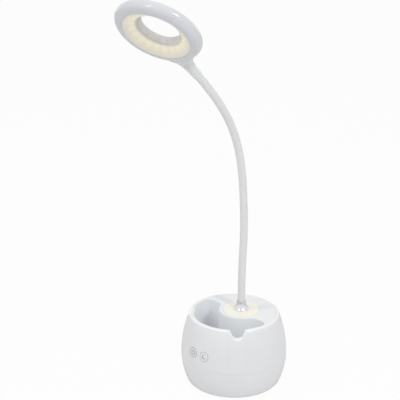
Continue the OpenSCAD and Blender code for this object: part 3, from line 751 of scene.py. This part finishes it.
def deck_and_cup():
    """The deck with its light well, and the crescent cup that hangs from it."""
    columns = rim_columns()
    front = [c for c in columns if abs(c[0]) <= CUP_END_ANGLE]
    back = [c for c in columns if c[0] >= CUP_END_ANGLE]
    back += [c for c in columns if c[0] <= -CUP_END_ANGLE]
    n = len(front)
    low_z, under_z = CUP_Z - CUP_FLOOR, POT_H - DECK_T
    cup = cup_inside(front)
    well = light_well()
    rear_edge = cup_rest(CUP_WALL)
    rim = [[on_column(c, INSERT_R - inset, drop) for c in front + back[1:-1]]
           for inset, drop in (*round_over(EDGE_OUT, 3), (0, DECK_T))]
    front_wall = wall_down(rim[-1][:n], low_z)
    rear_wall = wall_down([(x, y, under_z) for x, y in rear_edge], low_z)

    def behind(radius, z, along_cup):
        """The flat outline behind the cup: round the back, then along the cup's rear edge."""
        return [on_column(c, radius, 0, z) for c in back] + [(x, y, z) for x, y in along_cup[::-1]]

    top = flat(behind(INSERT_R - EDGE_OUT, POT_H, cup_rest(EDGE_CUP)), well[0])
    under = flat(behind(INSERT_R, under_z, rear_edge[1:-1]), well[-1])
    bottom = flat(front_wall[-1] + rear_wall[-1][1:-1])
    patches = [grid(cup, loop_columns=True), flat(cup[-1]), grid(rim, loop_columns=True),
               grid(front_wall), grid([cup[0][:n], rim[0][:n]]), grid(well, loop_columns=True),
               top, under, grid(rear_wall), bottom]
    add_piece("deck_and_pen_cup", patches, "deck", "pot", ["deck_and_cup"])


def night_light():
    """The cream disc that the neck's collar stands on."""
    low, high = box_mm("night_light_diffuser")
    bore_edge_r = SHANK_R + FIT
    profile = [(bore_edge_r, low.z), (NIGHT_R, low.z)]
    profile += arc((NIGHT_R - EDGE_OUT, high.z - EDGE_OUT), EDGE_OUT, 0, 90, 4)
    profile += [(bore_edge_r, high.z)]
    add_piece("night_light_disc", [revolve(profile, 128, (0, NECK_Y))], "night_diffuser",
              "pot", ["night_light_diffuser"])


def collar():
    """The flared bright collar, with the shank that goes down through the deck."""
    low, high = box_mm("neck_collar")
    foot_z = high.z - COLLAR_H
    narrowing = COLLAR_FOOT_R - COLLAR_TOP_R
    rise = COLLAR_H - COLLAR_FOOT_H
    flare_r = (narrowing ** 2 + rise ** 2) / (2 * narrowing)
    start = 180 + math.degrees(math.asin(rise / flare_r))
    foot_edge, top_edge, seat_r = 0.25, 0.2, SLEEVE_R + FIT
    profile = [(SHANK_R, low.z), (SHANK_R, foot_z), (COLLAR_FOOT_R - foot_edge, foot_z)]
    profile += arc((COLLAR_FOOT_R - foot_edge, foot_z + foot_edge), foot_edge, -90, 0, 4)[1:]
    profile += arc((COLLAR_TOP_R + flare_r, high.z), flare_r, start, 180, 20)[:-1]
    profile += arc((COLLAR_TOP_R - top_edge, high.z - top_edge), top_edge, 0, 90, 4)
    profile += [(seat_r + top_edge, high.z), (seat_r, high.z - top_edge),
                (seat_r, NECK_FOOT.z), (BORE_R, NECK_FOOT.z), (BORE_R, low.z)]
    add_piece("flared_collar", [revolve(profile, 128, (0, NECK_Y))], "collar", "pot",
              ["neck_collar"])


# ---- neck ----

def neck_line(s):
    """Point and direction on the neck's centre line, s lengths up from its foot."""
    point, k = NECK_FOOT.copy(), 0
    while True:
        part = min(s - k, 1)
        first = math.radians(LEAN[k])
        last = first + math.radians(LEAN[k + 1] - LEAN[k]) * part
        half = (last - first) / 2
        chord = LENGTH * part * (math.sin(half) / half if half else 1)
        point += chord * Vector((0, -math.sin(first + half), math.cos(first + half)))
        k += 1
        if s <= k or k == LENGTHS:
            beyond = max(s - LENGTHS, 0) * LENGTH
            direction = Vector((0, -math.sin(last), math.cos(last)))
            return point + beyond * direction, direction


def sleeve_rows(low, high, radius):
    """Rings of points along the neck's line, at a radius from it."""
    rows = []
    turns = [2 * math.pi * k / SLEEVE_SIDES for k in range(SLEEVE_SIDES)]
    for s in np.linspace(low, high, max(2, round((high - low) * ROWS_PER_LENGTH) + 1)):
        point, direction = neck_line(float(s))
        across = Vector((0, direction.z, -direction.y))
        rows.append([point + radius * (math.cos(a) * Vector((1, 0, 0)) + math.sin(a) * across)
                     for a in turns])
    return rows


def sleeve_piece(name, low, high):
    """A stretch of the silicone sleeve, as a closed tube."""
    rows = sleeve_rows(low, high, SLEEVE_R) + sleeve_rows(low, high, SLEEVE_BORE_R)[::-1]
    return add_object(name, make_mesh(name, [grid(rows, True, True)]), MATERIALS["sleeve"])


def elbow(name, k):
    """A round collar over a joint of the neck: it closes the wedge that opens between two lengths."""
    point, direction = neck_line(k)
    dome = arc((0, 0), SLEEVE_R - ELBOW_SINK, ELBOW_LOW, ELBOW_HIGH, 12)
    start = (ELBOW_BORE_R, SLEEVE_R * math.sin(math.radians(ELBOW_LOW)))
    tube = revolve([start, *dome, (ELBOW_BORE_R, dome[-1][1])], SLEEVE_SIDES)
    turn = direction.to_track_quat("Z", "X").to_matrix().to_4x4()
    mesh = make_mesh(name, [tube], Matrix.Translation(point * MM) @ turn)
    return add_object(name, mesh, MATERIALS["sleeve"])


def neck_sleeve():
    bodies = ["pot"] + [joint["child"] for joint in frame["joints"]]
    first = sleeve_piece("sleeve_foot", SLEEVE_START, 0.5)
    last = sleeve_piece("sleeve_tip", LENGTHS - 0.5, LENGTHS + SLEEVE_IN / LENGTH)
    pieces = [(first, bodies[0]), (last, bodies[-1])]
    for k in range(1, LENGTHS):
        if k in RIGID_BENDS:
            lower = sleeve_piece(f"sleeve_below_{k}", k - 0.5, k)
            upper = sleeve_piece(f"sleeve_above_{k}", k, k + 0.5)
            pieces += [(lower, bodies[k - 1]), (elbow(f"sleeve_elbow_{k}", k), bodies[k - 1]),
                       (upper, bodies[k])]
            piece = lower
        else:
            piece = sleeve_piece(f"sleeve_bend_{k}", k - 0.5, k + 0.5)
            start, end = neck_line(k - 0.5)[0] * MM, neck_line(k + 0.5)[0] * MM
            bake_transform(piece)
        if k > 1:
            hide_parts(f"neck_sleeve_{k}")
    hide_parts("neck_sleeve_1")
    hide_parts(f"neck_sleeve_{LENGTHS}")
    for piece, body in pieces:
        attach(piece, body)


# ---- ring head, in its own frame: lip in the plane z = 0, back towards +Z, stem along +X ----

def ring_matrix():
    """The ring's frame, in metres."""
    tip, direction = neck_line(LENGTHS)
    stem = -direction
    back = Vector((0, direction.z, -direction.y))
    back = back * math.cos(HEAD_ROLL) - Vector((1, 0, 0)) * math.sin(HEAD_ROLL)
    side = back.cross(stem)
    origin = tip - stem * STEM_REACH - back * RING_MID
    matrix = Matrix((stem, side, back)).transposed().to_4x4()
    matrix.translation = origin * MM
    return matrix


def crown_z(r):
    """Height of the ring's sloping back at a radius."""
    return RING_MID + (RING_TOP_R - math.sin(CROWN) * (r - TOP_CENTRE_R)) / math.cos(CROWN)


RING_BACK = crown_z(HOLE_R)


def bore_r(z, grow=0.0):
    """Radius of the ring's conical hole at a height, or of a cone that lies around it."""
    return HOLE_R + (RING_BACK - z) * math.tan(BORE_SLOPE) + grow / math.cos(BORE_SLOPE)


def soft_min(a, b, k):
    """The smaller of two values, rounded over where they differ by less than k."""
    h = np.maximum(k - np.abs(a - b), 0) / k
    return np.minimum(a, b) - h * h * k / 4


def soft_max(a, b, k):
    """The larger of two values, rounded over in the same way."""
    return -soft_min(-a, -b, k)


def ring_distance(r, z):
    """Distance to the ring's outer section, negative inside it."""
    lip = np.where(r > LOW_CENTRE_R, np.hypot(r - LOW_CENTRE_R, z - RING_LOW_R) - RING_LOW_R, -z)
    u, v = r - TOP_CENTRE_R, z - RING_MID
    slope = u * math.sin(CROWN) + v * math.cos(CROWN) - RING_TOP_R
    past = u * math.cos(CROWN) - v * math.sin(CROWN) > 0
    back = np.where(past, np.hypot(u, v) - RING_TOP_R, slope)
    return np.where(z < RING_MID, lip, back)


def stem_level(x, y, z):
    """Level of the stem's form, 0 on its surface: constant in thickness, flared in plan."""
    fillet_y = STEM_R + STEM_FLARE
    fillet_x = math.sqrt((RING_R + STEM_FLARE) ** 2 - fillet_y ** 2)
    run = np.clip((fillet_x - x) / STEM_FLARE, 0, fillet_x / (RING_R + STEM_FLARE))
    taper = STEM_TAPER * np.clip((x - STEM_REACH + TAPER_RUN) / TAPER_RUN, 0, 1) ** 2
    half_w = fillet_y - STEM_FLARE * np.sqrt(1 - run ** 2) - taper
    half_h = STEM_R - taper - STEM_SINK * ease((RING_R + 2 - x) / SINK_RUN)
    power = 2 + 0.5 * run
    across, up = np.abs(y) / half_w, np.abs(z - RING_MID) / half_h
    return (across ** power + up ** power + 1e-9) ** (1 / power) - 1


def numeric_slope(function, points, step=0.01):
    """Gradient of a function of rows of points."""
    slopes = [(function(points + move) - function(points - move)) / (2 * step)
              for move in step * np.eye(3)]
    return np.stack(slopes, axis=1)


def stem_distance(points, least_slope=0.08):
    """Distance to the stem, which ends inside the ring's wall."""
    level = stem_level(*points.T)
    slope = np.linalg.norm(numeric_slope(lambda p: stem_level(*p.T), points), axis=1)
    distance = level / np.maximum(slope, least_slope)
    return np.maximum(distance, LOW_CENTRE_R - RING_WALL - points[:, 0])


def housing_distance(points):
    """Distance to the head's housing: ring and stem flow together, the cavity and hole are out."""
    x, y, z = points.T
    r = np.hypot(x, y)
    rise = ease((x - LOW_CENTRE_R + 2) / (RING_R - LOW_CENTRE_R))
    middle = np.clip(1 - (y / STEM_SPREAD) ** 2, 0, 1)
    blend = EDGE_BLEND + (STEM_BLEND - EDGE_BLEND) * rise * middle
    body = soft_min(ring_distance(r, z), stem_distance(points), blend)
    body = soft_max(body, x - STEM_REACH, TIP_BLEND)
    wall = np.maximum(ring_distance(r, z) + RING_WALL, z - RING_BACK + RING_WALL)
    mouth = np.maximum(r - LIGHT_R - FIT, z - RING_WALL - 1)
    body = soft_max(body, -np.minimum(wall, mouth), EDGE_BLEND)
    hole = (HOLE_R + (RING_BACK - z) * math.tan(BORE_SLOPE) - r) * math.cos(BORE_SLOPE)
    return soft_max(body, hole + COLLAR_T + LINING_PLAY, HOLE_BLEND)


def isosurface(function, low, high, step):
    """Points and quads of a function's zero surface, with one point in each cell that it crosses."""
    axes = [np.arange(a, b + step, step) for a, b in zip(low, high)]
    places = np.stack(np.meshgrid(*axes, indexing="ij"), axis=-1)
    values = function(places.reshape(-1, 3)).reshape(places.shape[:3])
    inside = values < 0
    cells = [n - 1 for n in inside.shape]
    sums, counts, edges = np.zeros((*cells, 3)), np.zeros(cells), []
    # where the grid's lines cross the surface, summed up for each cell that they touch
    for axis in range(3):
        first = tuple(slice(0, -1) if a == axis else slice(None) for a in range(3))
        second = tuple(slice(1, None) if a == axis else slice(None) for a in range(3))
        crossed = inside[first] != inside[second]
        share = values[first] / np.where(crossed, values[first] - values[second], 1)
        crossing = places[first] + share[..., None] * step * np.eye(3)[axis]
        crossing[~crossed] = 0
        edges.append((crossed, inside[first]))
        for corner in np.ndindex(2, 2):
            shift = list(corner)
            shift.insert(axis, 0)
            window = tuple(slice(s, s + n) for s, n in zip(shift, cells))
            sums += crossing[window]
            counts += crossed[window]
    used = counts > 0
    number = np.full(cells, -1)
    number[used] = np.arange(used.sum())
    # one quad round each crossing, from the points of the four cells about it
    quads = []
    for axis, (crossed, solid) in enumerate(edges):
        spots = np.argwhere(crossed)
        b, c = (np.eye(3, dtype=int)[(axis + k) % 3] for k in (1, 2))
        around = [number[tuple((spots - move).T)] for move in (b + c, c, 0 * b, b)]
        quad = np.stack(around, axis=1)
        flip = solid[crossed]
        quad[flip] = quad[flip][:, ::-1]
        quads.append(quad)
    return sums[used] / counts[used][:, None], np.concatenate(quads)


def drawn_to_skin(points, rounds=3, reach=0.2):
    """Moves points along the slope of the housing's distance to where that is zero."""
    for _ in range(rounds):
        distance = housing_distance(points)
        slope = numeric_slope(housing_distance, points)
        size = np.maximum((slope ** 2).sum(axis=1), 0.25)
        points = points - np.clip(distance / size, -reach, reach)[:, None] * slope
    return points


def rounded_hole(points, reach=0.4):
    """Sets the points next to the hole's rear edge on one exact circle."""
    edge_z = RING_BACK
    for _ in range(9):
        edge_r = bore_r(edge_z, COLLAR_T + LINING_PLAY)
        edge_z = crown_z(edge_r)
    r = np.hypot(points[:, 0], points[:, 1])
    near = np.hypot(r - edge_r, points[:, 2] - edge_z) < reach
    points[near] = np.column_stack([points[near, :2] * (edge_r / r[near])[:, None],
                                    np.full(near.sum(), edge_z)])
    return points


def head_shell():
    """The housing as one smooth skin, with the two bores of its stem cut in afterwards."""
    low = (-RING_R - 1, -RING_R - 1, -1)
    high = (STEM_REACH + 1, RING_R + 1, RING_BACK + 1)
    points, quads = isosurface(housing_distance, low, high, SKIN_STEP)
    points = rounded_hole(drawn_to_skin(points))
    head = add_piece("head_shell", [(points.tolist(), quads.tolist())], "head_shell", "head",
                     ["head_housing"], ring_matrix())
    core_x, seat_x, mouth_x = STEM_REACH - CORE_IN, STEM_REACH - SLEEVE_IN, STEM_REACH + 1
    seat_r = SLEEVE_R + FIT
    profile = [(0.0, core_x), (BORE_R, core_x), (BORE_R, seat_x), (seat_r, seat_x),
               (seat_r, mouth_x), (0.0, mouth_x)]
    along_stem = Matrix.Translation((0, 0, RING_MID * MM)) @ Matrix.Rotation(math.pi / 2, 4, "Y")
    cut(head, [revolve(profile, 64)], ring_matrix() @ along_stem)


def ring_diffuser():
    """The conical diffuser: a slightly hollow cone from the lip in to the lined hole."""
    inner_r, outer_r = bore_r(LIGHT_TOP), LIGHT_R + FIT
    low_z, edge, wall, hollow, rim_z = 0.05, 0.5, 1.4, 0.5, LIGHT_LOW + 2
    profile = [(outer_r, low_z + edge), (outer_r, rim_z), (LIGHT_R - 1, rim_z),
               (inner_r + 0.6, LIGHT_TOP), (inner_r, LIGHT_TOP)]
    profile += [(inner_r + (LIGHT_R - edge - inner_r) * t,
                 LIGHT_TOP - wall + (low_z - LIGHT_TOP + wall) * t + hollow * math.sin(math.pi * t))
                for t in np.linspace(0, 1, 15)]
    profile += arc((outer_r - edge, low_z + edge), edge, -90, 0, 4)[1:-1]
    add_piece("light_cone", [revolve(profile)], "ring_diffuser", "head",
              ["ring_diffuser"], ring_matrix())


def hole_lining():
    """The pale grey collar that lines the ring's hole."""
    low_z, edge = LIGHT_TOP + 0.05, 0.35
    inside = [(bore_r(z), z) for z in np.linspace(low_z, RING_BACK - edge, 6)]
    turned = [(bore_r(RING_BACK) + edge * (1 - math.cos(a)), RING_BACK - edge * (1 - math.sin(a)))
              for a in np.radians((25, 50, 75, 90))]
    outside = [(bore_r(z, COLLAR_T), z) for z in (RING_BACK, low_z)]
    add_piece("hole_lining", [revolve(inside + turned + outside)], "inner_collar", "head",
              ["head_inner_collar"], ring_matrix())


# ---- touch symbols ----

def on_flank(x, u, v, lift):
    """A point printed on the front of the pot: x and u across, v up from the touch keys' line."""
    z = TOUCH_Z + v
    radius = flank_r(z) + lift
    a = (x + u) / radius
    return (radius * math.sin(a), -radius * math.cos(a), z)


def ribbon(x, line, width, closed=False):
    """A thin printed line, of one width or of a given width at each of its points."""
    n, sections = len(line), []
    widths = np.broadcast_to(width, n)
    corners = ((-1, -PRINT_SUNK), (1, -PRINT_SUNK), (1, PRINT_PROUD), (-1, PRINT_PROUD))
    for i, (u, v) in enumerate(line):
        before = line[i - 1] if closed or i else line[0]
        after = line[(i + 1) % n] if closed or i < n - 1 else line[-1]
        du, dv = after[0] - before[0], after[1] - before[1]
        length = math.hypot(du, dv)
        a, b = -dv / length * widths[i] / 2, du / length * widths[i] / 2
        sections.append([on_flank(x, u + side * a, v + side * b, lift) for side, lift in corners])
    points, faces = grid(sections, True, closed)
    if not closed:
        last = 4 * (n - 1)
        faces += [(0, 1, 2, 3), (last + 3, last + 2, last + 1, last)]
    return points, faces


def power_sign(x):
    """A circle that is open at its top, with an upright bar in the gap."""
    bold, circle_r = 1.1, 2.2
    circle = ribbon(x, arc((0, 0), circle_r, 125, 415, 32), bold)
    bar = ribbon(x, [(0, 0.3), (0, 1.7), (0, 3.1)], bold)
    return [circle, bar]


def moon_sign(x):
    """A crescent moon: one line that swells to its middle."""
    steps, moon_r, moon_w, tip_w = 33, 2.6, 1.5, 0.12
    widths = [tip_w + moon_w * math.sin(math.pi * t) for t in np.linspace(0, 1, steps)]
    arms = np.radians(np.linspace(85, 335, steps))
    line = [((moon_r - w / 2) * math.cos(a), (moon_r - w / 2) * math.sin(a))
            for a, w in zip(arms, widths)]
    return [ribbon(x, line, widths)]


def touch_symbols():
    """A power sign and a crescent moon, each in a ring, over the two touch keys."""
    circle = arc((0, 0), SIGN_R, 0, 360, 48)[:-1]
    for name, sign, side, ring_w in (("power_sign", power_sign, -1, 0.8),
                                     ("moon_sign", moon_sign, 1, 0.5)):
        x = TOUCH_RIGHT + side * TOUCH_PITCH / 2
        patches = [ribbon(x, circle, ring_w, closed=True)] + sign(x)
        add_piece(name, patches, "shell", "pot", material=PRINT)


# ---- finishes: one for each slot of the record, and the print of the symbols ----

WHITE = (0.86, 0.865, 0.88)
LINING = (0.68, 0.665, 0.64)
MATERIALS = {
    # shell: its second, paler colour is a painted highlight on the rounded rim and notches
    "shell": shell_with_painted_rim_highlight("white_shell", WHITE, (0.97, 0.975, 0.985)),
    "bowl": moulded("white_bowl", WHITE, SHELL_ROUGH, **SHELL_COAT),
    # deck: 0.05 is the strength of the painted glow on the cup's walls and rounded edges
    "deck": deck_with_painted_glow("white_deck", (0.895, 0.91, 0.93), 0.05),
    "sleeve": moulded("white_silicone", (0.81, 0.815, 0.815), 0.42, grain=1200, relief=1e-6,
                      Sheen_Weight=0.15),
    # head_shell: the second, paler colour is painted light along the stem
    "head_shell": head_with_painted_stem_light("white_head", (0.70, 0.715, 0.745), (0.80, 0.81, 0.82)),
    # inner_collar: the first, paler colour is painted light from the diffuser
    "inner_collar": lining("grey_lining", (0.74, 0.72, 0.66), LINING),
    # ring_diffuser: LINING here is painted shade at the cone's inner edge
    "ring_diffuser": lit_cone("cream_light", (0.86, 0.82, 0.73), (0.93, 0.86, 0.66), LINING),
    "night_diffuser": moulded("cream_disc", (0.95, 0.92, 0.815), 0.4, Subsurface_Weight=0.1,
                              Subsurface_Scale=0.004, Emission_Color=(1, 0.95, 0.82, 1),
                              Emission_Strength=0.05),
    "collar": plated("bright_plating", (0.76, 0.76, 0.79), 0.2),
    "nut": plated("nickel_plating", (0.72, 0.68, 0.58), 0.25),
    "ferrule": plated("brass", (0.74, 0.62, 0.36), 0.3),
    "screws": plated("zinc_plating", (0.66, 0.66, 0.68), 0.3),
    "weight": plated("plated_weight", (0.50, 0.50, 0.52), 0.42),
    "socket": plated("stamped_steel", (0.70, 0.71, 0.72), 0.28),
    "core": wound_steel("wound_steel"),
    "pad": moulded("foam_rubber", (0.055, 0.056, 0.06), 0.85, grain=2600, relief=4e-5, drift=0.2),
    "board": moulded("solder_mask", (0.03, 0.16, 0.07), 0.35, drift=0.15),
    "light_board": moulded("white_mask", (0.86, 0.87, 0.85), 0.4),
    "emitters": moulded("phosphor", (0.95, 0.80, 0.30), 0.3),
    "cell": moulded("foil_pouch", (0.24, 0.36, 0.48), 0.35, relief=2e-5),
    "holder": moulded("black_moulding", (0.03, 0.03, 0.032), 0.45),
    "touch_pad": moulded("conductive_foam", (0.04, 0.04, 0.045), 0.8, relief=3e-5),
}
PRINT = moulded("grey_print", (0.46, 0.46, 0.46), 0.5)


def dress_nodes():
    """Every CAD node gets the material of its slot in the record."""
    slots = {part["node"]: part["material_slot"] for part in frame["record"]["subparts"]}
    for name, node in NODES.items():
        node.data.materials.clear()
        node.data.materials.append(MATERIALS[slots[name]])


# ---- stage ----

def set_world():
    """White for the camera, reflections and transmitted light, softer as a lamp."""
    world = bpy.data.worlds.new("world")
    bpy.context.scene.world = world
    world.use_nodes = True
    tree = world.node_tree
    background = tree.nodes["Background"]
    rays = tree.nodes.new("ShaderNodeLightPath").outputs
    seen = maths(tree, "MAXIMUM", rays["Is Camera Ray"], rays["Is Transmission Ray"])
    bright = maths(tree, "MAXIMUM", seen, rays["Is Glossy Ray"])
    strength = remap(tree, bright, (0, 1), (WORLD_LIGHT, 1))
    feed(background, Color=(1, 1, 1, 1), Strength=strength)


def add_floor():
    """A pale floor that looks white to the camera and keeps the faint shadow under the pot."""
    bpy.ops.mesh.primitive_plane_add(size=6)
    floor = bpy.context.object
    floor.name = "floor"
    material, tree, shader = new_material("pale_floor")
    feed(shader, Base_Color=FLOOR_COLOUR, Roughness=0.9, Specular_IOR_Level=0.1)
    glow = tree.nodes.new("ShaderNodeEmission")
    feed(glow, Color=(1, 1, 1, 1))
    rays = tree.nodes.new("ShaderNodeLightPath").outputs
    either = tree.nodes.new("ShaderNodeMixShader")
    feed(either, Fac=remap(tree, rays["Is Camera Ray"], (0, 1), (0, FLOOR_WHITE)))
    tree.links.new(shader.outputs["BSDF"], either.inputs[1])
    tree.links.new(glow.outputs["Emission"], either.inputs[2])
    feed(tree.nodes["Material Output"], Surface=either.outputs["Shader"])
    floor.data.materials.append(material)


def add_softbox(name, place, target_z, size, power, mirrored=True):
    """A square lamp at a place in metres, turned to the pot's axis; gloss may mirror it."""
    lamp = bpy.data.lights.new(name, "AREA")
    lamp.shape = "RECTANGLE"
    lamp.size = lamp.size_y = size
    lamp.energy = power
    light = add_object(name, lamp)
    light.location = place
    aim = Vector((0, 0, target_z)) - Vector(place)
    light.rotation_euler = aim.to_track_quat("-Z", "Y").to_euler()
    light.visible_glossy = mirrored


def add_camera():
    """The photograph's view: from the front right, above, with a long lens."""
    elevation, pitch, yaw = (math.radians(a) for a in (CAMERA_ELEVATION, CAMERA_PITCH, CAMERA_YAW))
    right = Vector((1, 1, 0)).normalized()
    away = Vector((-1, 1, 0)).normalized()
    up = Vector((0, 0, 1))
    place = Vector((0, 0, AIM_Z)) - away * CAMERA_FAR * math.cos(elevation)
    place += up * CAMERA_FAR * math.sin(elevation)
    look = -math.sin(yaw) * math.cos(pitch) * right + math.cos(yaw) * math.cos(pitch) * away
    look -= math.sin(pitch) * up
    data = bpy.data.cameras.new("camera")
    data.lens = LENS
    data.sensor_width = 36
    camera = add_object("camera", data)
    camera.location = place * MM
    camera.rotation_euler = look.to_track_quat("-Z", "Y").to_euler()
    bpy.context.scene.camera = camera


bpy.context.scene.view_settings.view_transform = "Standard"
dress_nodes()
add_camera()
set_world()
add_floor()
add_softbox("overhead", (0.0, 0.1, 1.3), 0.2, 1.0, 0.9)
add_softbox("left_key", (-0.6, -0.95, 1.5), 0.1, 0.2, 3.6, mirrored=False)
add_softbox("right_key", (1.1, -0.1, 1.0), 0.1, 0.2, 4.2)
add_softbox("glint", (0.1, -1.1, 1.0), 0.1, 0.25, 1.2)
upper_shell()
lower_bowl()
deck_and_cup()
night_light()
collar()
neck_sleeve()
head_shell()
ring_diffuser()
hole_lining()
touch_symbols()
